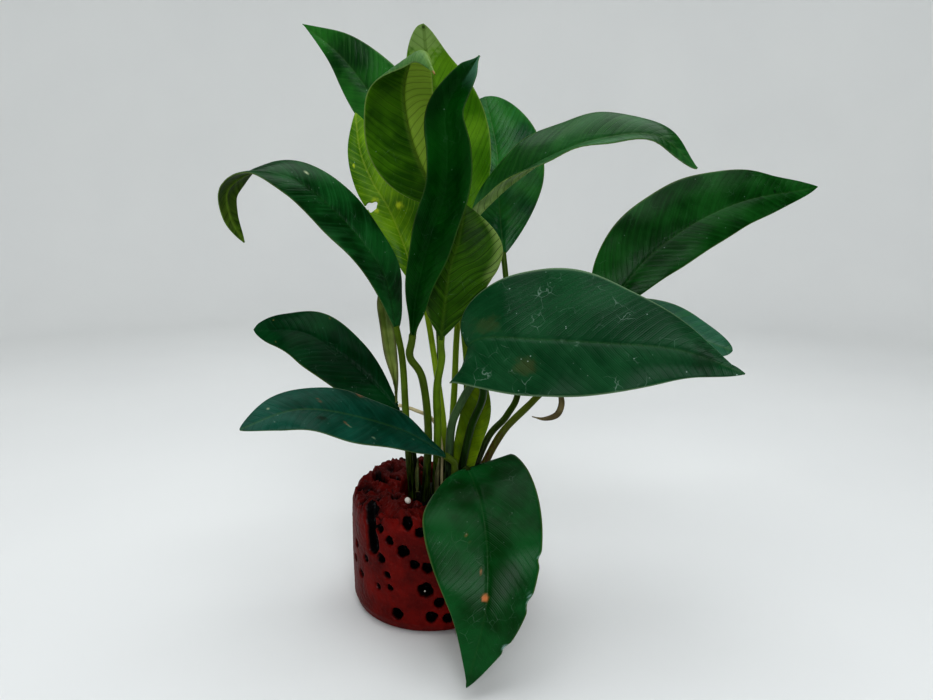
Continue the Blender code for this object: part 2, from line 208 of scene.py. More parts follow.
class LeafLine:
    # smooth curve through the given points, measured along its length
    def __init__(self, points, steps=16):
        knots = [Vector(p) for p in points]
        knots = [2 * knots[0] - knots[1], *knots, 2 * knots[-1] - knots[-2]]
        self.points, self.knotIndex = [], []
        for i in range(1, len(knots) - 2):
            self.knotIndex.append(len(self.points))
            self.points += [self.between(knots[i - 1:i + 3], k / steps) for k in range(steps)]
        self.knotIndex.append(len(self.points))
        self.points.append(knots[-2])
        self.lengths = [0.0]
        for a, b in zip(self.points, self.points[1:]):
            self.lengths.append(self.lengths[-1] + (b - a).length)

    def between(self, four, t):
        a, b, c, d = four
        square, cube = 2 * a - 5 * b + 4 * c - d, 3 * b - a - 3 * c + d
        return 0.5 * (2 * b + (c - a) * t + square * t ** 2 + cube * t ** 3)

    def length(self):
        return self.lengths[-1]

    def knotLength(self, index):
        return self.lengths[self.knotIndex[index]]

    def at(self, distance):
        distance = min(max(distance, 0.0), self.length())
        for i, end in enumerate(self.lengths[1:]):
            if distance <= end:
                begin = self.lengths[i]
                return self.points[i].lerp(self.points[i + 1], (distance - begin) / (end - begin))
        return self.points[-1].copy()

    def tangent(self, distance):
        step = 0.02 * self.length()
        return (self.at(distance + step) - self.at(distance - step)).normalized()


def eased(values, t):
    base, middle, tip = values
    return base + (middle - base) * soft(2 * t) if t < 0.5 else middle + (tip - middle) * soft(2 * t - 1)


def halfWidth(t, width, shape):
    widest, basePower, tipPower = shape
    if t < widest:
        return width * math.sin(math.pi / 2 * max(t, 0) / widest) ** basePower
    return width * max(math.cos(math.pi / 2 * (t - widest) / (1 - widest)), 0) ** tipPower


def leafFrames(line, start, rows, leaf):
    # the rib's point, direction and upper side at each row, carried from the middle along the arch
    span = line.length() - start
    tangents = [line.tangent(start + t * span) for t in rows]
    middle = min(range(len(rows)), key=lambda i: abs(rows[i] - 0.5))
    normals = [None] * len(rows)
    facing = Vector(leaf["face"])
    normals[middle] = (facing - tangents[middle] * facing.dot(tangents[middle])).normalized()
    for i in [*range(middle + 1, len(rows)), *range(middle - 1, -1, -1)]:
        before = normals[i - 1] if i > middle else normals[i + 1]
        normals[i] = (before - tangents[i] * before.dot(tangents[i])).normalized()
    for i, t in enumerate(rows):
        normals[i] = Matrix.Rotation(math.radians(eased(leaf["twist"], t)), 3, tangents[i]) @ normals[i]
    return {t: (line.at(start + t * span), tangents[i], normals[i]) for i, t in enumerate(rows)}


# mm between side veins, how steeply they climb and bend towards the tip, and how deep they sink
sideVeins = {"gap": 3.4, "climb": 0.85, "bend": 0.02, "depth": 0.11}
# how many cells of each leaf pattern fit in a metre, so a mottle's is 18 mm and a grain's 0.7 mm
leafCells = {"mottle": 55, "wobble": 120, "rubbed": 150, "scratch": 210, "bend": 300, "fleck": 420,
             "grain": 1400}
leafMarks = ("across", "along", "edge", "pale", "brown", "deep", "tint")    # attributes of a blade


def leafSkin(name, look, under):
    # living leaf: waxy cuticle over green tissue, half gloss; parallel side veins run from the
    # midrib to the margin, 3.4 mm apart, with three finer ones between each two
    material, tree, shader, place = newMaterial(name)
    mark = {key: addNode(tree, "Attribute", {"attribute_name": key}).outputs["Fac"] for key in leafMarks}
    away = addNode(tree, "Math", {"operation": "ABSOLUTE"}, (mark["across"],))
    # mottles, as tissue of uneven age has
    cloud = addNode(tree, "TexNoise", {}, {"Vector": place, "Scale": leafCells["mottle"], "Detail": 3,
                                           "Roughness": 0.55})
    mottle = addNode(tree, "MapRange", softStep, (cloud, 0.36, 0.66))
    # a side vein's place along the midrib: it climbs and curves towards the tip as it goes out
    wobble = addNode(tree, "TexNoise", {}, {"Vector": place, "Scale": leafCells["wobble"], "Detail": 1})
    climb = addNode(tree, "Math", {"operation": "MULTIPLY"}, (away, sideVeins["climb"]))
    squared = addNode(tree, "Math", {"operation": "POWER"}, (away, 2))
    curve = addNode(tree, "Math", {"operation": "MULTIPLY_ADD"}, (squared, sideVeins["bend"], climb))
    line = addNode(tree, "Math", {"operation": "SUBTRACT"}, (mark["along"], curve))
    shaken = addNode(tree, "Math", {"operation": "MULTIPLY_ADD"}, (wobble, 1.6, line))
    veinPlace = addNode(tree, "Math", {"operation": "SUBTRACT"}, (shaken, 0.8))
    mainGap = addNode(tree, "Math", {"operation": "PINGPONG"}, (veinPlace, sideVeins["gap"] / 2))
    mainVein = addNode(tree, "MapRange", softStep, (mainGap, 0, 0.55, 1, 0))
    fineGap = addNode(tree, "Math", {"operation": "PINGPONG"}, (veinPlace, sideVeins["gap"] / 8))
    fineVein = addNode(tree, "MapRange", softStep, (fineGap, 0, 0.3, 1, 0))
    weight = addNode(tree, "Math", {"operation": "MULTIPLY"}, (mainVein, look["veinWeight"]))
    veins = addNode(tree, "Math", {"operation": "MULTIPLY_ADD"},
                    (fineVein, look["veinWeight"] * 0.35, weight))
    # streaks of paler and deeper tissue about 2 mm wide run along with the side veins
    outward = addNode(tree, "Math", {"operation": "MULTIPLY"}, (mark["across"], 0.1))
    streakPlace = addNode(tree, "CombineXYZ", {}, (veinPlace, outward))
    streaks = addNode(tree, "TexNoise", {}, {"Vector": streakPlace, "Scale": 0.55, "Detail": 3})
    paler = addNode(tree, "MapRange", {}, (streaks, 0.48, 0.68, 0, look["streak"]))
    deeper = addNode(tree, "MapRange", {}, (streaks, 0.32, 0.48, look["streak"] * 0.6, 0))
    # the midrib shows as a paler line, broader on the underside; the rim is a painted highlight, a paler line
    # where the margin's edge catches the light
    ribWidth = 0.9 if under else 0.55
    rib = addNode(tree, "MapRange", softStep, (away, ribWidth * 0.4, ribWidth, look["ribWeight"], 0))
    rim = addNode(tree, "MapRange", {}, (mark["edge"], 0.965, 0.995, 0, look["rimGlintWeight"]))
    # scratches: hair lines about 0.2 mm wide where other leaves and stones have rubbed
    bend = addNode(tree, "TexNoise", {}, {"Vector": place, "Scale": leafCells["bend"]})
    pushed = addNode(tree, "VectorMath", {"operation": "MULTIPLY_ADD"},
                     (bend.outputs["Color"], (0.0025,) * 3, place))
    cells = addNode(tree, "TexVoronoi", {"feature": "DISTANCE_TO_EDGE"},
                    {"Vector": pushed, "Scale": leafCells["scratch"]})
    hair = addNode(tree, "MapRange", {}, (cells, 0.003, 0.024, 1, 0))
    rubbed = addNode(tree, "TexNoise", {}, {"Vector": place, "Scale": leafCells["rubbed"], "Detail": 4})
    where = addNode(tree, "MapRange", {}, (rubbed, 0.54, 0.72, 0, look["scratch"]))
    scratch = addNode(tree, "Math", {"operation": "MULTIPLY"}, (hair, where))
    # flecks of lime about 0.4 mm across, in patches
    dots = addNode(tree, "TexVoronoi", {"feature": "F1"}, {"Vector": place, "Scale": leafCells["fleck"]})
    dot = addNode(tree, "MapRange", {}, (dots, 0.05, 0.13, 1, 0))
    limed = addNode(tree, "MapRange", {}, (bend, 0.55, 0.68, 0, look["fleck"]))
    fleck = addNode(tree, "Math", {"operation": "MULTIPLY"}, (dot, limed))
    # painted light comes first: the lighter green painted on one half of the cupped leaf
    tone = addNode(tree, "Mix", colourMix, {"Factor": mottle, "A": look["dark"], "B": look["light"]})
    for factor, colour in ((mark["tint"], look["tint"]), (mark["pale"], look["pale"]),
                           (paler, look["streakColour"]), (deeper, look["vein"]), (veins, look["vein"]),
                           (rib, look["rib"]), (rim, look["rim"]), (scratch, "#8ea496"), (fleck, "#a9bcb2"),
                           (mark["deep"], look["vein"]), (mark["brown"], look["brown"])):
        tone = addNode(tree, "Mix", colourMix, {"Factor": factor, "A": tone, "B": colour})
    gloss = addNode(tree, "MapRange", {}, (mottle, 0, 1, look["rough"], look["rough"] + 0.12))
    # veins sink a little, and the cells between them make the cuticle very slightly pebbled
    grain = addNode(tree, "TexNoise", {}, {"Vector": place, "Scale": leafCells["grain"], "Detail": 1})
    pebbled = addNode(tree, "Math", {"operation": "MULTIPLY"}, (grain, 0.35))
    sunk = addNode(tree, "Math", {"operation": "MULTIPLY_ADD"}, (fineVein, -0.5, pebbled))
    relief = addNode(tree, "Math", {"operation": "MULTIPLY_ADD"}, (mainVein, -0.7, sunk))
    bump = addNode(tree, "Bump", {}, {"Height": relief, "Strength": 0.35, "Distance": 0.12 * mm})
    feed(tree, shader, {"Base Color": tone, "Roughness": gloss, "Specular IOR Level": look["shine"],
                        "Coat Weight": look["wet"], "Coat Roughness": 0.2,
                        "Normal": bump, "Coat Normal": bump})
    return material


def stemSkin(name, low, high, shadeHeights):
    # living leaf stalk: smooth, lengthwise fibres; painted shade turns it nearly black towards the crown,
    # deep in the stone's well
    material, tree, shader, place = newMaterial(name)
    height = addNode(tree, "SeparateXYZ", {}, (place,)).outputs["Z"]
    outOfShade = addNode(tree, "MapRange", softStep, (height, shadeHeights[0] * mm, shadeHeights[1] * mm))
    stretched = addNode(tree, "Mapping", {}, {"Vector": place, "Scale": (1, 1, 0.12)})
    fibres = addNode(tree, "TexNoise", {}, {"Vector": stretched, "Scale": 1300})
    patches = addNode(tree, "TexNoise", {}, {"Vector": place, "Scale": 160, "Detail": 3})
    dark = addNode(tree, "MapRange", {}, (patches, 0.45, 0.7, 0, 0.35))
    lined = addNode(tree, "MapRange", {}, (fibres, 0.4, 0.65, 0, 0.5))
    tone = addNode(tree, "Mix", colourMix, {"Factor": outOfShade, "A": low, "B": high})
    for factor, colour in ((dark, low), (lined, high)):
        tone = addNode(tree, "Mix", colourMix, {"Factor": factor, "A": tone, "B": colour})
    bump = addNode(tree, "Bump", {}, {"Height": fibres, "Strength": 0.3, "Distance": 0.15 * mm})
    feed(tree, shader, {"Base Color": tone, "Roughness": 0.34, "Specular IOR Level": 0.1, "Normal": bump})
    return material


def driedSkin(name, tan, green):
    # dead leaf tissue: papery, dull, tan with the last green in it and dark edges
    material, tree, shader, place = newMaterial(name)
    edge = addNode(tree, "Attribute", {"attribute_name": "edge"}).outputs["Fac"]
    patches = addNode(tree, "TexNoise", {}, {"Vector": place, "Scale": 130, "Detail": 4})
    part = addNode(tree, "MapRange", {}, (patches, 0.4, 0.62))
    tone = addNode(tree, "Mix", colourMix, {"Factor": part, "A": tan, "B": green})
    burnt = addNode(tree, "MapRange", {}, (edge, 0.55, 1, 0, 0.7))
    edged = addNode(tree, "Mix", colourMix, {"Factor": burnt, "A": tone, "B": "#3a2c14"})
    crease = addNode(tree, "TexNoise", {}, {"Vector": place, "Scale": 700, "Detail": 3})
    bump = addNode(tree, "Bump", {}, {"Height": crease, "Strength": 0.5, "Distance": 0.3 * mm})
    feed(tree, shader, {"Base Color": edged, "Roughness": 0.62, "Normal": bump})
    return material


def veinLine(along, across):
    # 1 on a side vein, 0 between two
    place = along - sideVeins["climb"] * across - sideVeins["bend"] * across ** 2
    gap = abs((place / sideVeins["gap"]) % 1 - 0.5) * 2
    return soft((gap - 0.55) / 0.45)


def pieceName(kind, node):
    return kind + "".join(word.capitalize() for word in node.split("_") if word not in ("leaf", "stem"))


def nickDepth(leaf, t, half, span):
    depth = 0
    for place, side, length, deep in leaf["nicks"]:
        if side == half:
            depth = max(depth, deep * soft(1 - abs(t - place) * span / (length / 2)))
    return depth


def markAt(marks, t, across, span, leaf):
    # how much a mark colours this point; a mark is (t, part of the half width, radius), and then
    # maybe its strength, how many times longer than wide it is, and its slant in degrees
    value = 0
    for mark in marks:
        place, part, radius, strength, stretch, slant = (*mark, *(1, 1, 0)[len(mark) - 3:])
        half = 1 if part > 0 else 0
        y = (t - place) * span
        x = across - part * halfWidth(place, leaf["half"][half], leaf["shape"][half])
        if math.hypot(x, y) < 2 * radius * stretch:
            turn = math.radians(slant)
            x, y = x * math.cos(turn) - y * math.sin(turn), x * math.sin(turn) + y * math.cos(turn)
            ragged = radius * (1 + 0.5 * noise.noise(Vector((t * span, across, radius)) * 0.9))
            value = max(value, strength * soft(1.6 * (1 - math.hypot(x, y / stretch) / ragged)))
    return value


def cutHoles(bm, leaf, span):
    # the grid still lies flat here: x is the part of the half width, y runs from base to tip
    for place, part, alongHalf, acrossHalf in leaf["holes"]:
        half = 1 if part > 0 else 0
        width = halfWidth(place, leaf["half"][half], leaf["shape"][half])

        def reach(co):
            x, y = (co.x - part) * width / acrossHalf, (co.y - place) * span / alongHalf
            turn = math.atan2(y, x)
            return math.hypot(x, y) / (1 + 0.16 * math.sin(3 * turn + 1) + 0.1 * math.sin(5 * turn))
        gone = [f for f in bm.faces if reach(f.calc_center_median()) < 1]
        around = {v for f in gone for v in f.verts}
        bmesh.ops.delete(bm, geom=gone, context="FACES")
        for vertex in around:
            if vertex.is_valid and vertex.is_boundary and abs(vertex.co.x) < 0.999:
                distance = reach(vertex.co)
                vertex.co.x = part + (vertex.co.x - part) / distance
                vertex.co.y = place + (vertex.co.y - place) / distance


# what a blade has unless its own dictionary says otherwise: plate thickness, height of the dome
# over each half, edge waves (height and length), uneven rolling, the groove over the midrib (depth
# and half width), how long its halves turn up or down before they run straight, and no marks
anyLeaf = {
    "thick": 0.6, "dome": 0.7, "wave": (0.5, 26), "roll": 0.9, "groove": (0.35, 0.7), "veinRelief": 1,
    "stem": 1, "twist": (0, 0, 0), "lift": ((0, 0, 0), (0, 0, 0)), "crease": 0.1, "taper": 0.001,
    "end": 0.05, "lobe": (0, 0), "lobePower": 2, "overlap": 0, "nicks": (), "holes": (), "paleAndGlintMarks": (),
    "brownMarks": (), "darkSpotAndShadeMarks": (), "paleAndSheenBands": (), "paintedLightHalves": (0, 0), "under": {},
    # the stalks' painted shade at the foot, their green higher up, and the heights between which one turns
    # into the other
    "stemColours": ("#010200", "#344a0a"), "stemHeights": (53, 76),
}


def flatBlade(leaf, span, columns, rows):
    # a flat plate, closer meshed along the midrib and at both ends, with its holes cut; the side
    # that becomes the underside has the second material
    bm = bmesh.new()
    bmesh.ops.create_grid(bm, x_segments=2 * columns, y_segments=rows, size=1)
    for vertex in bm.verts:
        x, t = vertex.co.x, (vertex.co.y + 1) / 2
        t = 0.55 * t + 0.45 * (0.5 - 0.5 * math.cos(math.pi * t))
        vertex.co = (math.copysign(abs(x) ** 1.3, x), t, 0)
    cutHoles(bm, leaf, span)
    bmesh.ops.solidify(bm, geom=bm.faces[:], thickness=0.01)
    bmesh.ops.recalc_face_normals(bm, faces=bm.faces)
    for face in bm.faces:
        face.material_index = 1 if face.normal.z < -0.5 else 0
    return bm


def bladeHeight(leaf, s, t, width, span, upper, seed):
    # how high the blade's skin stands over its bent middle plane, in mm
    reach, along = abs(s), t * span
    across, half = reach * width, 1 if s > 0 else 0
    calm = min(1, t / 0.12, (1 - t) / 0.15)
    waveHeight, waveLength = leaf["wave"]
    height = waveHeight * s ** 2 * calm * math.sin(math.tau * along / waveLength + 2.3 * half)
    height += leaf["dome"] * math.sin(math.pi * reach) * min(1, width / 10) * calm
    height += leaf["roll"] * calm * noise.noise(Vector((along / 24, s * width / 14, seed)))
    veins = sideVeins["depth"] * leaf["veinRelief"] * veinLine(along, across)
    height -= veins * calm * (1 - soft((reach - 0.9) / 0.1))
    wall = leaf["thick"] / 2 * (1 - 0.6 * soft((reach - 0.93) / 0.07))
    if upper:
        deep, wide = leaf["groove"]
        return height + wall - deep * math.exp(-(across / wide) ** 2) * (1 - 0.8 * t)
    ribHalf = 0.42 * leaf["stem"]
    rib = math.exp(-(across / (ribHalf * (1.1 - 0.7 * t))) ** 2)
    return height - wall - leaf.get("ribHeight", ribHalf) * (1 - t) ** 0.8 * rib


def makeBlade(name, leaf, line, start, materials, columns=24, rows=120):
    span = line.length() - start
    bm = flatBlade(leaf, span, columns, rows)
    middle = sum(v.co.z for v in bm.verts) / len(bm.verts)
    layers = {key: bm.verts.layers.float.new(key) for key in leafMarks}
    frames = leafFrames(line, start, sorted({round(v.co.y, 5) for v in bm.verts}), leaf)
    seed = sum(map(ord, name)) % 50
    for vertex in bm.verts:
        s, t, upper = vertex.co.x, round(vertex.co.y, 5), vertex.co.z > middle
        half, reach = 1 if s > 0 else 0, abs(s)
        centre, tangent, normal = frames[t]
        side = tangent.cross(normal) * (1 if half else -1)
        full = halfWidth(t, leaf["half"][half], leaf["shape"][half]) * soft((1 - t) / leaf["taper"] + 0.25)
        blunt = 0.2 + leaf["end"] * math.sqrt(1 - soft((t - 0.95) / 0.05))
        width = max(full - nickDepth(leaf, t, half, span), blunt, 0.9 * (1 - t / 0.04))
        lift = math.radians(eased(leaf["lift"][half], t))
        spread, angle = Vector((0, 0, 0)), 0.0
        for k in range(6):
            angle = lift * min(reach * (k + 0.5) / 6 / leaf["crease"], 1)
            spread += (side * math.cos(angle) + normal * math.sin(angle)) * (reach * width / 6)
        outNormal = normal * math.cos(angle) - side * math.sin(angle)
        # the base runs back past the stalk's end: over it at the midrib, and in lobes beside it
        cover = leaf["overlap"] * max(0, 1 - t / 0.1) ** 2
        lobe = leaf["lobe"][half] * reach ** leaf["lobePower"] * max(0, 1 - t / 0.35) ** 2
        back = cover + lobe * full / leaf["half"][half]
        height = 0.5 * cover + bladeHeight(leaf, s, t, width, span, upper, seed)
        # pale bands, which on the folded upright leaf are a painted reflection, fade in over a part of the
        # half width and a stretch of the length
        bands = [strength * soft((reach - part) / 0.2) * soft((t - low) / 0.1) * soft((high - t) / 0.1)
                 for onHalf, part, low, high, strength in leaf["paleAndSheenBands"] if onHalf == half]
        place = (t, s * width, span, leaf)
        # painted light: one half of the blade is painted a lighter green, as the cupped leaf's halves face
        # the light differently
        low, high = leaf["paintedLightHalves"]
        # deep marks are dark spots of the tissue and painted shade, such as a fold's
        values = {"across": s * width, "along": t * span, "edge": reach,
                  # pale marks are pale tissue and, at the drooping leaf's nicks, partly painted highlight
                  "pale": max(markAt(leaf["paleAndGlintMarks"], *place), *bands, 0),
                  "brown": markAt(leaf["brownMarks"], *place), "deep": markAt(leaf["darkSpotAndShadeMarks"], *place),
                  "tint": low + (high - low) * soft(0.5 + s * width / 3)}
        for key, value in values.items():
            vertex[layers[key]] = value
        vertex.co = (centre + spread - tangent * back + outNormal * height) * mm
    return finishPiece(pieceName("blade", name), bm, materials, name)


def makeStem(name, line, start, end, widths, material, foot=0):
    # a round stalk: widths are its diameters at the foot and at the top, foot widens a sheathed base
    curve = bpy.data.curves.new(pieceName("stalk", name), "CURVE")
    curve.dimensions = "3D"
    curve.bevel_depth = mm / 2
    curve.bevel_resolution = 6
    curve.use_fill_caps = True
    count = max(12, round((end - start) / 1.2))
    spline = curve.splines.new("POLY")
    spline.points.add(count - 1)
    seed = sum(map(ord, name)) % 50
    for i, point in enumerate(spline.points):
        t = i / (count - 1)
        distance = start + t * (end - start)
        place = line.at(distance) + line.tangent(0) * min(distance, 0)
        point.co = (*(place * mm), 1)
        uneven = 1 + 0.06 * noise.noise(Vector((t * (end - start) / 7, seed, 0)))
        sheath = foot * max(0, 1 - t * (end - start) / 9) ** 2
        point.radius = (widths[0] + (widths[1] - widths[0]) * t) * uneven + sheath
    spline.use_smooth = True
    return placePiece(curve.name, curve, [material], name)


# living tissue that a leaf's own values change: colours of the deep and the light patches, veins, midrib and
# rim, the rim's being a painted highlight, how strongly they and the scratches show, and the gloss of the
# wettest parts
tissue = {"dark": "#0f3a10", "light": "#2a5a1f", "vein": "#041c06", "veinWeight": 0.12, "rib": "#46652f",
          "ribWeight": 0.2, "rim": "#8b9a58", "rimGlintWeight": 0.25, "scratch": 0.1, "fleck": 0.3, "rough": 0.36,
          "shine": 0.06, "wet": 0.08, "pale": "#b9bf9a", "tint": "#7d9a2c", "brown": "#8a5630",
          "streak": 0.25, "streakColour": "#3c7030"}
# undersides are paler, as they are, and brighter still as painted light: the glow of light shining through
# the leaf
undersideTissueWithGlow = {"dark": "#1d4008", "light": "#3a5a18", "vein": "#142c02", "veinWeight": 0.4,
                   "rib": "#5f7a24", "ribWeight": 0.4, "rimGlintWeight": 0.5, "rough": 0.42, "wet": 0.03,
                   "streakColour": "#5f8a20"}


def makeLeaf(name, leaf):
    leaf = {**anyLeaf, **leaf}
    x, y = leaf["stalk"][0]
    foot = (x, y, crownHeight(x, y) + 1.6)
    line = LeafLine((foot, *leaf["stalk"][1:], *leaf["rib"]))
    start = line.knotLength(len(leaf["stalk"]))
    words = name.replace("_", " ")
    upperSkin = leafSkin("leaf upper side, " + words, {**tissue, **leaf["upper"]}, False)
    underSkin = leafSkin("leaf underside, " + words, {**tissue, **undersideTissueWithGlow, **leaf["under"]}, True)
    makeBlade("leaf_" + name, leaf, line, start, [upperSkin, underSkin])
    skin = stemSkin("leaf stalk, " + words, *leaf["stemColours"], leaf["stemHeights"])
    widths = (leaf["stem"] * 1.25, leaf["stem"])
    makeStem("stem_" + name, line, -3, start + 1.5 - leaf["overlap"], widths, skin, foot=1.0)


upperLeft = {
    "stalk": ((2, 7), (2, 13, 79), (3, 18, 101), (0, 28, 131)),
    "stem": 2.4,
    "rib": ((-4, 36, 159), (-14, 40, 186), (-26, 44, 203), (-39, 48, 219), (-55, 52, 232)),
    "face": (-0.35, -1, 0.35),
    "half": (11, 16),
    "shape": ((0.42, 0.7, 1.15), (0.42, 0.7, 0.95)),
    "upper": {"dark": "#06340a", "light": "#256420", "ribWeight": 0.12, "wet": 0.14},
    "under": {"dark": "#2c5208", "light": "#56781f"},
}
makeLeaf("upper_left", upperLeft)

paleTip = {
    "stalk": ((6.5, 4.5), (9, 7, 83), (10, 9, 105), (12, 13, 128)),
    "stem": 2.2,
    "rib": ((14, 18, 153), (14, 20, 167), (8, 21, 188), (0, 18, 208), (-2, 12, 223)),
    "face": (0.1, 1, 0.1),
    "half": (14, 11),
    "shape": ((0.5, 0.7, 0.75), (0.5, 0.7, 0.45)),
    "stemColours": ("#0c1604", "#6c861c"),
    "upper": {"dark": "#0c3a0a", "light": "#255a14"},
    "under": {"dark": "#3a6a06", "light": "#5f8c18", "pale": "#93aa6c", "veinWeight": 0.25, "rib": "#3f5a14"},
    "paleAndGlintMarks": ((0.97, 0.2, 13, 0.6),),
    "darkSpotAndShadeMarks": ((0.985, 0.0, 0.9, 0.8),),
}
makeLeaf("pale_tip", paleTip)

cupped = {
    "stalk": ((11, 2), (15, 1, 78), (14, -1, 99), (12, -4, 119), (9, -6, 141)),
    "stem": 2.2,
    "rib": ((4, -8, 158), (-4, -12, 176), (-7, -20, 192), (-4, -33, 201), (1, -45, 202.5), (5, -56, 194)),
    "face": (-0.3, 1, 0.1),
    "half": (15, 16),
    "shape": ((0.35, 0.6, 1.8), (0.33, 0.6, 1.25)),
    "lift": ((-35, -50, -30), (0, -15, -55)),
    "stemColours": ("#0c1604", "#62801a"),
    "upper": {"dark": "#3a6434", "light": "#587c44", "streakColour": "#7d9c5c"},
    "under": {"dark": "#1a4200", "light": "#3e6a04", "rib": "#2c4a06", "ribWeight": 0.5, "veinWeight": 0.32,
              "tint": "#92b040"},
    "brownMarks": ((0.99, 0.1, 1.3, 0.7),),
    # painted light: one half is painted the lighter green that the light falling on it gives
    "paintedLightHalves": (0.85, 0.0),
}
makeLeaf("cupped", cupped)

foldedUpright = {
    "stalk": ((-2, -8), (-0.5, -12, 74), (-2, -19, 96), (-6, -23, 105)),
    "stem": 2.6,
    "rib": ((-5, -25, 112), (-3, -28, 128), (2, -32, 147), (7, -34, 161), (8, -35, 175), (8, -35, 188),
            (18, -35, 203)),
    "face": (-0.1, -1, 0),
    "half": (8, 12),
    "shape": ((0.55, 1.0, 0.5), (0.5, 1.0, 0.6)),
    "lift": ((40, 50, 40), (40, 55, 50)),
    "crease": 0.5,
    "taper": 0.08,
    "stemColours": ("#030601", "#425610"),
    "upper": {"dark": "#002a04", "light": "#08400a", "ribWeight": 0.0, "veinWeight": 0.05, "rimGlintWeight": 0.1,
              "shine": 0.03, "wet": 0.05, "pale": "#557f6a", "streak": 0.1, "streakColour": "#185a1c"},
    "under": {"dark": "#1c4004", "light": "#35590c"},
    # painted reflection: grey-blue sheen bands in its pale colour along the upper edge and over the beak
    "paleAndSheenBands": ((1, 0.0, 0.88, 1.3, 0.7), (0, 0.3, 0.93, 1.3, 0.5)),
}
makeLeaf("folded_upright", foldedUpright)

yellowGreen = {
    "stalk": ((4, 0), (5, 0, 70), (2, 3, 94), (-2, 9, 117)),
    "stem": 2.2,
    "rib": ((-6, 12, 126), (-11, 16, 142), (-17, 20, 156), (-24, 24, 167), (-29, 28, 179), (-31, 32, 194)),
    "face": (0.2, -1, 0.3),
    "half": (8, 17),
    "shape": ((0.45, 0.7, 0.8), (0.45, 0.7, 0.8)),
    "stemColours": ("#0c1604", "#7c961c"),
    "upper": {"dark": "#2f5c03", "light": "#678f08", "streakColour": "#86a81c", "rib": "#a9b840",
              "vein": "#8fae2c", "veinWeight": 0.2, "pale": "#b9c62a"},
    "under": {"dark": "#41680a", "light": "#7fa021"},
    "holes": ((0.485, -0.72, 2.2, 2.4),),
    "paleAndGlintMarks": ((0.43, 0.25, 1.8, 0.8), (0.5, -0.45, 2.2, 0.5), (0.45, -0.6, 1.6, 0.6), (0.72, -0.7, 0.8)),
}
makeLeaf("yellow_green", yellowGreen)

middle = {
    "stalk": ((2, -6), (3, -11, 74), (3, -15, 91), (5, -18, 103)),
    "stem": 2.6,
    "rib": ((5, -20, 111), (8, -24, 135), (11, -24, 145), (13.5, -21, 158)),
    "face": (0, 1, 0),
    "half": (16, 10),
    "shape": ((0.7, 0.9, 0.85), (0.5, 0.9, 0.8)),
    "stemColours": ("#081004", "#587414"),
    "upper": {"dark": "#0c3a0c", "light": "#245424"},
    "under": {"dark": "#153601", "light": "#2e5404", "veinWeight": 0.6, "pale": "#7b9150", "rib": "#3f5a12"},
    "darkSpotAndShadeMarks": ((0.92, 0.5, 1.2),),
    "paleAndSheenBands": ((0, 0.72, 0.45, 0.97, 0.75), (1, 0.75, 0.1, 0.8, 0.4)),
}
makeLeaf("middle", middle)

rightArching = {
    "stalk": ((11, 6), (12, 6, 64), (14, 5, 83), (14, 4, 102), (12, 4, 121), (13, 6, 138)),
    "stem": 2.2,
    "rib": ((16, 8, 151), (25, 6, 161), (35, 3, 169), (45, 0, 175), (61, -7, 181), (79, -13, 181),
            (93, -18, 170)),
    "face": (0, -1.1, 1),
    "half": (15, 7),
    "shape": ((0.38, 0.8, 0.95), (0.35, 0.3, 0.45)),
    "lift": ((0, 0, 0), (90, 30, 0)),
    "twist": (10, 0, -15),
    "upper": {"dark": "#0c3e0e", "light": "#245a28", "shine": 0.1, "wet": 0.15},
    "under": {"dark": "#5a783a", "light": "#8ca266", "veinWeight": 0.5, "streakColour": "#a9ba84"},
}
makeLeaf("right_arching", rightArching)

backRight = {
    "stalk": ((15, 5), (23, 12, 63), (31, 17, 71), (36, 22, 82), (33, 32, 109)),
    "stem": 2.4,
    "rib": ((30, 38, 136), (28, 44, 160), (27, 48, 181), (22, 52, 203)),
    "face": (0, -1, 0.3),
    "half": (18, 20),
    "shape": ((0.55, 0.9, 0.5), (0.55, 0.9, 0.5)),
    "upper": {"dark": "#08421a", "light": "#2a6c26", "wet": 0.15, "streakColour": "#3c7a50"},
    "under": {"dark": "#24480c", "light": "#3c5e18"},
}
makeLeaf("back_right", backRight)

leftArching = {
    "stalk": ((-7.5, -5.5), (-9, -8, 73), (-10, -8, 99)),
    "stem": 2.4,
    "rib": ((-12, -8, 112), (-15, -10, 130), (-22, -12, 143), (-32, -14, 155), (-45, -18, 166),
            (-58, -20, 169), (-67, -21, 163), (-67, -21, 154), (-63, -20, 145)),
    "face": (0.2, -0.9, 0.8),
    "half": (9, 11),
    "shape": ((0.42, 0.7, 0.7), (0.5, 0.55, 0.9)),
    "twist": (0, 0, 110),
    "stemColours": ("#020300", "#4c6212"),
    "upper": {"dark": "#002a06", "light": "#12501e", "ribWeight": 0.05, "wet": 0.12,
              "streakColour": "#2f6c3c"},
    "under": {"dark": "#24400a", "light": "#45581e"},
    "paleAndGlintMarks": ((0.58, 0.45, 0.55, 1, 1.8, 60),),
}
makeLeaf("left_arching", leftArching)

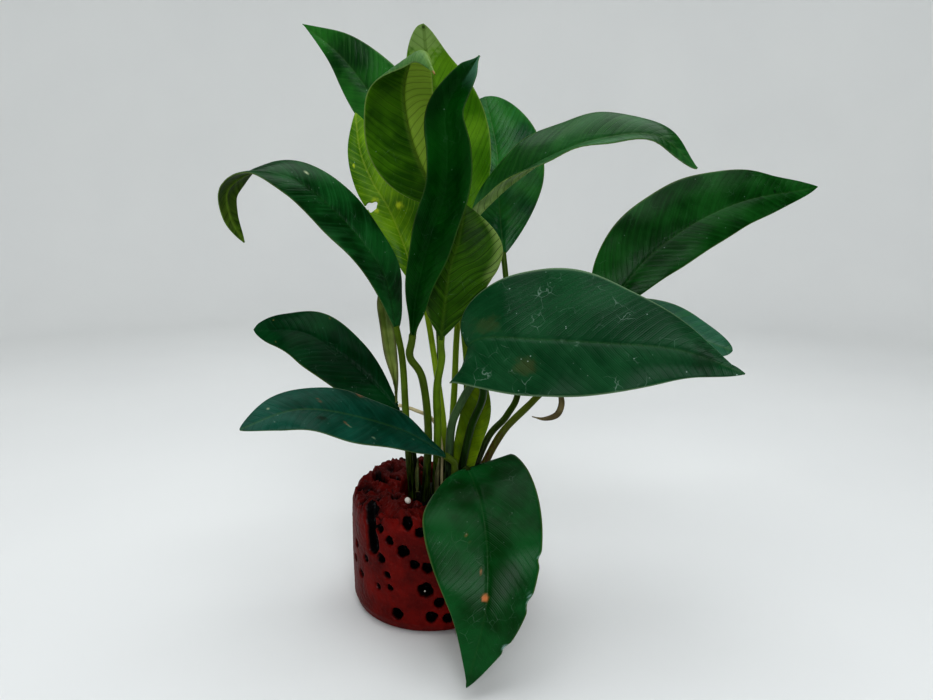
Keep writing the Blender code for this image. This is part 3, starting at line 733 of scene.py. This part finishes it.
lowerLeft = {
    "stalk": ((8, -11), (9.5, -12, 59)),
    "stem": 2.6,
    "rib": ((7, -14, 64), (-8, -25, 78), (-26, -34, 87), (-43, -41, 91), (-59, -50, 87)),
    "face": (0, -0.7, 1),
    "half": (11, 10.5),
    "shape": ((0.5, 0.9, 0.75), (0.55, 1.0, 0.65)),
    "stemColours": ("#141e04", "#4a5c1a"),
    "stemHeights": (48, 62),
    # partly painted reflection: the leaf's greens lean teal for the sky's sheen on its upturned face
    "upper": {"dark": "#003020", "light": "#0e4838", "shine": 0.07, "wet": 0.12, "streak": 0.15,
              "streakColour": "#2a6450", "brown": "#6e4c30", "pale": "#9aa888"},
    "brownMarks": ((0.5, 1.0, 2.0, 0.9), (0.57, -0.4, 0.3, 0.8, 5, 40), (0.68, 0.35, 0.25, 0.6, 6, 50)),
    "paleAndGlintMarks": ((0.87, 0.45, 0.45, 0.8), (0.25, -0.35, 0.3, 0.9), (0.45, -0.75, 0.35, 0.8),
                  (0.56, -0.45, 0.2, 0.6, 5, 40), (0.69, 0.38, 0.15, 0.7, 6, 50)),
    "darkSpotAndShadeMarks": ((0.67, -0.4, 1.2, 0.8, 2.2, 0),),
}
makeLeaf("lower_left", lowerLeft)

middleLeft = {
    "stalk": ((-6, 0), (-8, 1, 64)),
    "stem": 2.2,
    "rib": ((-12, 2, 76), (-27, 7, 91), (-49, 13, 106), (-74, 20, 107)),
    "face": (0, -0.8, 1),
    "half": (14, 12),
    "shape": ((0.5, 0.7, 0.75), (0.62, 1.0, 0.4)),
    "upper": {"dark": "#00240c", "light": "#053a18", "ribWeight": 0.0, "shine": 0.02, "wet": 0.05,
              "veinWeight": 0.08, "streak": 0.15, "streakColour": "#144c30", "brown": "#86703c"},
    "brownMarks": ((0.35, -0.5, 0.25, 0.6, 3, 60), (0.9, 0.6, 0.5), (0.62, 0.9, 0.4), (0.82, -0.8, 0.3)),
}
makeLeaf("middle_left", middleLeft)

broadRight = {
    "stalk": ((10.5, -6), (15.5, -13.5, 75), (20, -26, 93)),
    "stem": 2.6,
    "rib": ((17, -36, 113), (38, -42, 115), (59, -48, 115), (80, -54, 114), (98, -60, 108)),
    "face": (0, -1, 0.5),
    "half": (25, 19),
    "shape": ((0.28, 0.4, 1.4), (0.25, 0.3, 0.85)),
    "lobe": (5, 25),
    "lobePower": 1.4,
    "overlap": 3,
    "stemColours": ("#020401", "#1e3a0c"),
    "end": 1.0,
    # partly painted reflection: the leaf's greens lean grey-teal for the sky's sheen on its upturned face;
    # its rim's painted highlight is strong
    "upper": {"dark": "#033417", "light": "#154626", "scratch": 0.45, "ribWeight": 0.1, "wet": 0.1,
              "veinWeight": 0.08, "fleck": 0.7, "streak": 0.12, "streakColour": "#2a5c3c", "rim": "#8aa27c",
              "rimGlintWeight": 0.45},
    "brownMarks": ((0.07, -0.25, 4, 0.07), (0.23, 0.5, 4, 0.1)),
    # painted shade: the dark patch near the tip is the shade of a fold
    "darkSpotAndShadeMarks": ((0.86, 0.1, 5, 0.55, 1.6, 60),),
}
makeLeaf("broad_right", broadRight)

farRight = {
    "stalk": ((17, 1.5), (20.5, 3.5, 53), (29, 8, 67), (42, 13, 79), (59, 17, 97)),
    "stem": 2.6,
    "rib": ((71, 20, 114), (92, 26, 139), (124, 34, 157), (164, 42, 165)),
    "face": (0, -1, 0.6),
    "half": (21, 13),
    "shape": ((0.4, 0.4, 0.85), (0.42, 0.7, 0.8)),
    "stemColours": ("#3a1e0c", "#4e5c14"),
    "stemHeights": (55, 76),
    "upper": {"dark": "#002c02", "light": "#124614", "ribWeight": 0.08, "shine": 0.03, "wet": 0.12,
              "streakColour": "#1f5c24"},
    "darkSpotAndShadeMarks": ((0.82, -0.1, 1.0),),
}
makeLeaf("far_right", farRight)

tuckedRight = {
    "stalk": ((7, -4), (8, -8, 73), (12, -12, 85), (18, -15, 96)),
    "stem": 2.8,
    "rib": ((26, -19, 109), (54, -24, 116), (80, -30, 117), (103, -36, 110)),
    "face": (0, -1, 0.6),
    "half": (10.5, 11),
    "shape": ((0.5, 0.6, 0.55), (0.5, 0.6, 0.55)),
    "stemColours": ("#081004", "#4a6440"),
    "upper": {"dark": "#10442a", "light": "#2c5c44", "shine": 0.1, "wet": 0.12},
}
makeLeaf("tucked_right", tuckedRight)

frontDrooping = {
    "stalk": ((13, -9), (13.5, -15, 58)),
    "stem": 3.0,
    "rib": ((15, -22, 61), (19, -38, 56), (21, -52, 44), (20, -61, 28), (14, -66, 5)),
    "face": (0, -1, 0.6),
    "half": (20.5, 21),
    "shape": ((0.15, 0.05, 0.8), (0.3, 0.5, 1.2)),
    "lobe": (4, 2),
    "lobePower": 3,
    "overlap": 2,
    "veinRelief": 0.3,
    "end": 0.6,
    "upper": {"dark": "#003006", "light": "#084a1c", "ribWeight": 0.05, "veinWeight": 0.03, "shine": 0.04,
              "wet": 0.16, "scratch": 0.15, "streak": 0.06, "streakColour": "#1c5c38", "brown": "#b06a3c",
              "pale": "#9ab8b4"},
    "brownMarks": ((0.63, 0.05, 1.7), (0.38, 0.3, 0.3, 0.7, 7, -15), (0.53, 0.12, 0.3, 0.6, 5, -10)),
    # partly painted highlight: the pale blue marks at the three nicks are the torn edges, coloured as they
    # catch the light
    "paleAndGlintMarks": ((0.63, -0.97, 0.8, 0.9, 4), (0.8, -0.92, 0.7, 0.9, 2.5), (0.46, -0.97, 0.4, 0.8, 3)),
    "nicks": ((0.48, 0, 5, 0.8), (0.63, 0, 6, 1.0), (0.8, 0, 5, 0.8)),
}
makeLeaf("front_drooping", frontDrooping)
print("fifteen leaves are grown")

# blades without a stalk of their own
youngLeaf = {
    "rib": ((14, -3.5, 50), (14, -5, 59), (16, -7, 69), (18.5, -9, 81), (19, -12, 103)),
    "face": (0.5, 1, 0),
    "half": (5, 7.5),
    "shape": ((0.55, 0.4, 0.8), (0.55, 0.4, 0.8)),
}

witheredLeaf = {
    "rib": ((-13, -5, 83), (-14, -5, 95), (-15.5, -5, 108), (-17.5, -4, 126)),
    "face": (0.3, -1, 0),
    "half": (3.0, 3.0),
    "shape": ((0.8, 0.6, 0.3), (0.7, 0.6, 0.4)),
    "lift": ((60, 25, 15), (60, 25, 15)),
}

driedBract = {
    "rib": ((50.7, 13.6, 85), (53, 13.5, 80), (53, 12.5, 76), (51, 12, 72.5), (46, 12, 71), (41, 12, 72)),
    "face": (0, -1, 0.3),
    "half": (1.3, 1.3),
    "shape": ((0.5, 0.5, 1.0), (0.5, 0.5, 1.0)),
}

leftSheath = {
    "rib": ((-5.2, -9.5, 48), (-5.2, -9.5, 55), (-4.8, -9, 62)),
    "face": (0, -1, 0),
    "half": (0.8, 0.8),
    "shape": ((0.5, 0.3, 0.9), (0.5, 0.3, 0.9)),
}

frontSheath = {
    "rib": ((2.5, -12, 48), (2.7, -12, 55), (3.5, -12, 63)),
    "face": (0, -1, 0),
    "half": (0.9, 0.9),
    "shape": ((0.5, 0.3, 0.9), (0.5, 0.3, 0.9)),
}

smallBlades = {
    "young_leaf": (youngLeaf, "#566f04", "#8aa61c"),
    "withered_leaf": (witheredLeaf, "#74833a", "#4c6016"),
    "dried_bract": (driedBract, "#8a7c50", "#5a4e28"),
    "left_sheath": (leftSheath, "#5a5a22", "#30400c"),
    "front_sheath": (frontSheath, "#706c44", "#3c3c1c"),
}
for name, (blade, first, second) in smallBlades.items():
    if name == "young_leaf":
        skin = leafSkin("young leaf sheath", {**tissue, "dark": first, "light": second}, False)
    else:
        skin = driedSkin("papery leaf tissue, " + name.replace("_", " "), first, second)
    blade = {**anyLeaf, "thick": 0.5, "ribHeight": 0.1, "dome": 0.2, **blade}
    makeBlade(name, blade, LeafLine(blade["rib"]), 0, [skin, skin],
              columns=8, rows=60)

witheredStalk = {
    "points": ((4, -3.5, 52), (4, -4, 66), (1, -5, 76), (-6, -5, 80), (-12.3, -5, 82)),
    "width": 1.4,
}
stalkLine = LeafLine(witheredStalk["points"])
makeStem("withered_stalk", stalkLine, -3, stalkLine.length(), (witheredStalk["width"],) * 2,
         driedSkin("papery dead stalk", "#c2b68c", "#a09462"))
print("small blades and the dead stalk are in")


def rhizomeBark():
    # wet rhizome: bark with a dull olive cast and a water film's gloss, painted nearly black as the shade
    # deep in the stone's well
    material, tree, shader, place = newMaterial("wet rhizome bark in painted shade")
    cloud = addNode(tree, "TexNoise", {}, {"Vector": place, "Scale": 300, "Detail": 4})
    tone = addNode(tree, "Mix", colourMix, {"Factor": cloud, "A": "#010100", "B": "#060803"})
    bump = addNode(tree, "Bump", {}, {"Height": cloud, "Strength": 0.6, "Distance": 0.6 * mm})
    feed(tree, shader, {"Base Color": tone, "Roughness": 0.5, "Specular IOR Level": 0.08, "Normal": bump})
    return material


def makeCrown():
    # an uneven egg of bark in the well, sunk into the stalks' feet
    bm = bmesh.new()
    bmesh.ops.create_icosphere(bm, subdivisions=6, radius=1)
    for vertex in bm.verts:
        bump = 1 - 0.05 * abs(noise.noise(vertex.co * 3)) + 0.03 * noise.noise(vertex.co * 9)
        grown = zip(crown["centre"], crown["half"], vertex.co)
        vertex.co = Vector(centre + half * v * bump for centre, half, v in grown) * mm
    finishPiece("crownBark", bm, [rhizomeBark()], "rhizome")


makeCrown()

stone = {
    "radius": 32.0, "height": 48.5, "foot": 28.0, "segments": 480,
    # the well's radii, its floor's height, and how far from its middle the top's holes start
    "well": {"centre": (5.0, -2.0), "bottom": 16.4, "top": 18.4, "floor": 29.0, "clear": 17.5},
    # x, y, height and radius of the larger lumps on the broken top
    "lumps": ((-23, 8, 3.0, 5), (-15, 21, 3.5, 8), (14, 25, 2.0, 7), (29, 5, 1.5, 5), (-9, -25, 1.5, 6)),
    # angle round the stone in degrees, height and radius of each pit in front
    "pits": ((235, 41, 1.5), (243, 37, 1.5), (253, 34, 2.1), (236, 29, 1.7), (261, 29, 1.6), (241, 23, 1.4),
             (221, 26, 1.3), (256, 44, 1.8), (265, 42, 1.8), (270, 28, 1.9), (268, 19, 2.6), (277, 14, 1.8),
             (248, 8, 2.1), (272, 8, 2.0), (233, 17, 1.2), (243, 18, 1.2), (214, 18, 1.5), (207, 29, 1.4),
             (204, 22, 1.4), (283, 7, 1.8)),
    # how many more there are round the sides and back, their radii and how far apart they stay
    "sidePits": (12, (1.3, 2.3), 7), "smallPits": (26, (0.7, 1.3), 5),
    "pitSize": 1.25, "pitDepth": 1.9,
    # angle, height and half width along the groove down the front
    "groove": ((222, 48, 3.0), (225, 43, 3.6), (227, 38.5, 3.0), (229, 32.5, 3.3)), "grooveDepth": 4.0,
    # the height where the sides end, and the one from which the top is fully broken
    "smoothTo": 40, "brokenFrom": 47,
    # x, y, radius and depth of the holes in the top
    "holes": ((-21.4, 3.6, 3.0, 5.5), (-16.6, -6.7, 2.0, 3.5), (-14.9, 4.7, 2.2, 4.0),
              (-12.8, -17.2, 2.2, 3.5), (-24.5, -4.5, 1.6, 2.0), (-5, 24.5, 2.4, 3.5), (12, 24, 1.8, 2.5),
              (26.5, 8, 2.2, 3.0), (24, -12, 2.0, 3.0)),
}
# pit and crack say where painted shade turns the stone black
stoneMarks = ("pit", "crack", "worn")    # attributes of the stone


def aroundFrom(turn, angle):
    # the way round the stone's side from one angle to another, in mm
    return ((turn - angle + math.pi) % math.tau - math.pi) * stone["radius"]


def stonePits():
    # the pits in front, then more round the sides and back, kept apart
    generator = random.Random(7)
    scattered, count = [], 0
    for more, radii, apart in (stone["sidePits"], stone["smallPits"]):
        count += more
        while len(scattered) < count:
            pit = (generator.uniform(292, 558), generator.uniform(7, 38), generator.uniform(*radii))
            gaps = [math.hypot((pit[0] - angle) * math.radians(stone["radius"]), pit[1] - height)
                    for angle, height, radius in scattered]
            if all(gap > apart for gap in gaps):
                scattered.append(pit)
    return [(math.radians(angle), height, radius * stone["pitSize"]) for angle, height, radius in
            (*stone["pits"], *scattered)]


def stoneRings():
    # each corner of the profile: radius, height, how far the ring's middle has moved to the well's
    # middle, and how many rings lead to it from the corner before
    well, wall, top = stone["well"], stone["radius"], stone["height"]
    corners = [(0.05, well["floor"], 1, 1), (14, well["floor"], 1, 6),
               (well["bottom"], well["floor"] + 1.5, 1, 3), (well["top"] - 0.3, top - 1.2, 1, 20),
               (well["top"] + 0.4, top, 0.97, 4), (30.3, top - 1.5, 0, 28), (31.6, top - 4.5, 0, 9),
               (wall, 37, 0, 18), (wall + 0.2, 21, 0, 40), (wall, 5, 0, 40), (wall - 1.2, 1.7, 0, 8),
               (stone["foot"], 0, 0, 4), (0.05, 0, 0, 3)]
    rings = []
    for before, after in zip(corners, corners[1:]):
        for k in range(after[3]):
            part = k / after[3]
            rings.append([a + (b - a) * part for a, b in zip(before[:3], after[:3])])
    return [*rings, corners[-1][:3]]


def grooveDistance(turn, height):
    # how far a place on the side is from the groove, in parts of the groove's half width there
    nearest = 9
    for (a, low, wide), (b, high, narrow) in zip(stone["groove"], stone["groove"][1:]):
        a, b = [aroundFrom(turn, math.radians(angle)) for angle in (a, b)]
        along = (a * (a - b) + (low - height) * (low - high)) / ((a - b) ** 2 + (low - high) ** 2)
        along = min(max(along, 0), 1)
        offset = math.hypot(a + (b - a) * along, low + (high - low) * along - height)
        nearest = min(nearest, offset / (wide + (narrow - wide) * along))
    return nearest


def sideHollows(place, pits):
    # how deep a place on the side lies in a pit or the groove, and how far inside a rim it is, where the skin
    # paints shade
    turn = math.atan2(place.y, place.x) % math.tau
    depth, shadedInside = 0, 0
    for angle, height, radius in pits:
        around = aroundFrom(turn, angle)
        if abs(around) < 2 * radius and abs(place.z - height) < 2 * radius:
            ragged = radius * (1 + 0.25 * noise.noise(Vector((around, place.z, angle)) * 0.5))
            distance = math.hypot(around, place.z - height) / ragged
            depth = max(depth, radius * stone["pitDepth"] * soft((1 - distance) / 0.3))
            shadedInside = max(shadedInside, soft(0.5 + 0.9 * (0.96 - distance)))
    nearest = grooveDistance(turn, place.z) / (1 + 0.3 * noise.noise(place * 0.3))
    depth = max(depth, stone["grooveDepth"] * soft((1 - nearest) / 0.45))
    return depth, max(shadedInside, soft(0.5 + 0.9 * (0.9 - nearest)))


def crags(place):
    # broken lumps 4 to 7 mm across with cracks between them, and how deep in a crack the place is
    warped = place + 2.2 * noise.noise_vector(place * 0.24) + 0.7 * noise.noise_vector(place * 0.8)
    distances = noise.voronoi(warped / 5.6 + Vector((3, 7, 1)))[0]
    broken = soft(0.5 + 1.6 * noise.noise(place * 0.13 + Vector((0, 0, 5))))
    crack = (1 - soft((distances[1] - distances[0]) / 0.34)) * broken
    ledge = 1.5 * (0.3 - abs(noise.noise(warped * Vector((0.16, 0.3, 0.3)))))
    return 1.2 * (0.35 - distances[0]) - 1.8 * crack + ledge, crack


def topRelief(place, amount):
    # how far the broken top rises at a place, and how deep in a crack or hole the place lies
    lift = 2.4 * noise.noise(place * 0.11) + 1.5 * noise.noise(place * 0.29)
    for x, y, height, radius in stone["lumps"]:
        lift += height * math.exp(-(math.hypot(place.x - x, place.y - y) / radius) ** 2)
    relief, crack = crags(place)
    lift += relief + 0.8 * (0.3 - abs(noise.noise(place)))
    crack *= amount
    wellX, wellY = stone["well"]["centre"]
    if math.hypot(place.x - wellX, place.y - wellY) > stone["well"]["clear"]:
        for x, y, radius, deep in stone["holes"]:
            distance = math.hypot(place.x - x, (place.y - y) * 1.2) / radius
            distance /= 1 + 0.4 * noise.noise(place * 0.45)
            sunk = deep * math.sqrt(max(0, 1 - distance ** 4))
            lift -= sunk
            # a hole counts as a crack, so it is painted black as shade too
            crack = max(crack, soft(sunk / 0.8))
    return lift, crack


def shapeStone(place, pits):
    # place in mm; returns the moved place, how far inside a pit's rim it is, and how much in a crack, both of
    # which the skin paints as shade
    amount = (place.z - stone["smoothTo"]) / (stone["brokenFrom"] - stone["smoothTo"])
    amount = min(max(amount, 0), 1)
    fine = noise.noise(place * 0.9) * 0.5 + noise.noise(place * 2.1) * 0.22
    depth, shadedInside, crack = 0, 0, 0
    if place.z > 0.5 and math.hypot(place.x, place.y) > stone["foot"]:
        depth, shadedInside = sideHollows(place, pits)
    out = Vector((place.x, place.y, 0)).normalized()
    if amount:
        lift, crack = topRelief(place, amount)
        pull = 1 + 0.035 * amount * noise.noise(place * 0.2 + Vector((9, 0, 0)))
        place = Vector((place.x * pull, place.y * pull, place.z + (lift + fine) * amount))
    if place.z > 2:
        place = place + out * (0.22 * fine - depth)
    return place, shadedInside, crack


def stoneSkin():
    # dark red fired, pitted stone that has stood in water: damp sides, a duller and browner broken top
    material, tree, shader, place = newMaterial("wet dark red pitted stone")
    mark = {key: addNode(tree, "Attribute", {"attribute_name": key}).outputs["Fac"] for key in stoneMarks}
    cloud = addNode(tree, "TexNoise", {}, {"Vector": place, "Scale": 90, "Detail": 6, "Roughness": 0.62})
    cloudy = addNode(tree, "MapRange", {}, (cloud, 0.36, 0.66))
    grit = addNode(tree, "TexNoise", {}, {"Vector": place, "Scale": 700, "Detail": 3})
    speck = addNode(tree, "MapRange", {}, (grit, 0.6, 0.7, 0, 0.1))
    # painted shade: a pit is painted black right from its rim, half way up the value its place carries, so
    # the light on its walls doesn't show
    pitShade = addNode(tree, "MapRange", softStep, (mark["pit"], 0.42, 0.6))
    tone = addNode(tree, "Mix", colourMix, {"Factor": cloudy, "A": "#480503", "B": "#6c0f09"})
    # painted shade: the top's cracks and holes go black as well as the pits
    for factor, colour in ((speck, "#8a4034"), (mark["worn"], "#4a120d"), (mark["crack"], "#020000"),
                           (pitShade, "#020000")):
        tone = addNode(tree, "Mix", colourMix, {"Factor": factor, "A": tone, "B": colour})
    gloss = addNode(tree, "MapRange", {}, (cloudy, 0, 1, 0.38, 0.6))
    rough = addNode(tree, "Math", {"operation": "MULTIPLY_ADD"}, (grit, 0.4, cloud))
    bump = addNode(tree, "Bump", {}, {"Height": rough, "Strength": 0.7, "Distance": 0.7 * mm})
    feed(tree, shader, {"Base Color": tone, "Roughness": gloss, "Specular IOR Level": 0.04,
                        "Coat Weight": 0.08, "Coat Roughness": 0.16, "Normal": bump})
    return material


def makeStone():
    bm = bmesh.new()
    rings = stoneRings()
    chain = [bm.verts.new((radius, 0, height)) for radius, height, shift in rings]
    for pair in zip(chain, chain[1:]):
        bm.edges.new(pair)
    shiftLayer = bm.verts.layers.float.new("shift")
    bm.verts.ensure_lookup_table()
    for vertex, ring in zip(bm.verts, rings):
        vertex[shiftLayer] = ring[2]
    spinRound(bm, stone["segments"], 0.001)
    pitShadeLayer, crackShadeLayer, topToneLayer = [bm.verts.layers.float.new(key) for key in stoneMarks]
    pits = stonePits()
    centre = Vector((*stone["well"]["centre"], 0))
    for vertex in bm.verts:
        place = vertex.co + centre * vertex[shiftLayer]
        place, vertex[pitShadeLayer], vertex[crackShadeLayer] = shapeStone(place, pits)
        # darker and browner from 44 mm up, over the broken top
        vertex[topToneLayer] = soft((place.z - 44) / 7) * 0.6
        vertex.co = place * mm
    finishPiece("redStone", bm, [stoneSkin()], "stone")


makeStone()


def chalkyGrain():
    # chalky white grain: dull, off-white, faintly dusty
    material, tree, shader, place = newMaterial("chalky white grain")
    dust = addNode(tree, "TexNoise", {}, {"Vector": place, "Scale": 900, "Detail": 3})
    tone = addNode(tree, "Mix", colourMix, {"Factor": dust, "A": "#b9b3a4", "B": "#ece9e0"})
    feed(tree, shader, {"Base Color": tone})
    return material


# the grain that lies on the stone's rim, and the speck in one of its pits: place and radius
granules = (((-8.0, -20.3, 49.4), 1.2), ((-1.5, -29.3, 17.3), 0.4))


def makeGranules():
    bm = bmesh.new()
    for centre, radius in granules:
        grain = bmesh.ops.create_icosphere(bm, subdivisions=4, radius=radius)["verts"]
        for vertex in grain:
            vertex.co = (vertex.co * (1 + 0.2 * noise.noise(vertex.co * 0.9)) + Vector(centre)) * mm
    finishPiece("whiteGrain", bm, [chalkyGrain()], None)


makeGranules()
print("crown and stone are in")
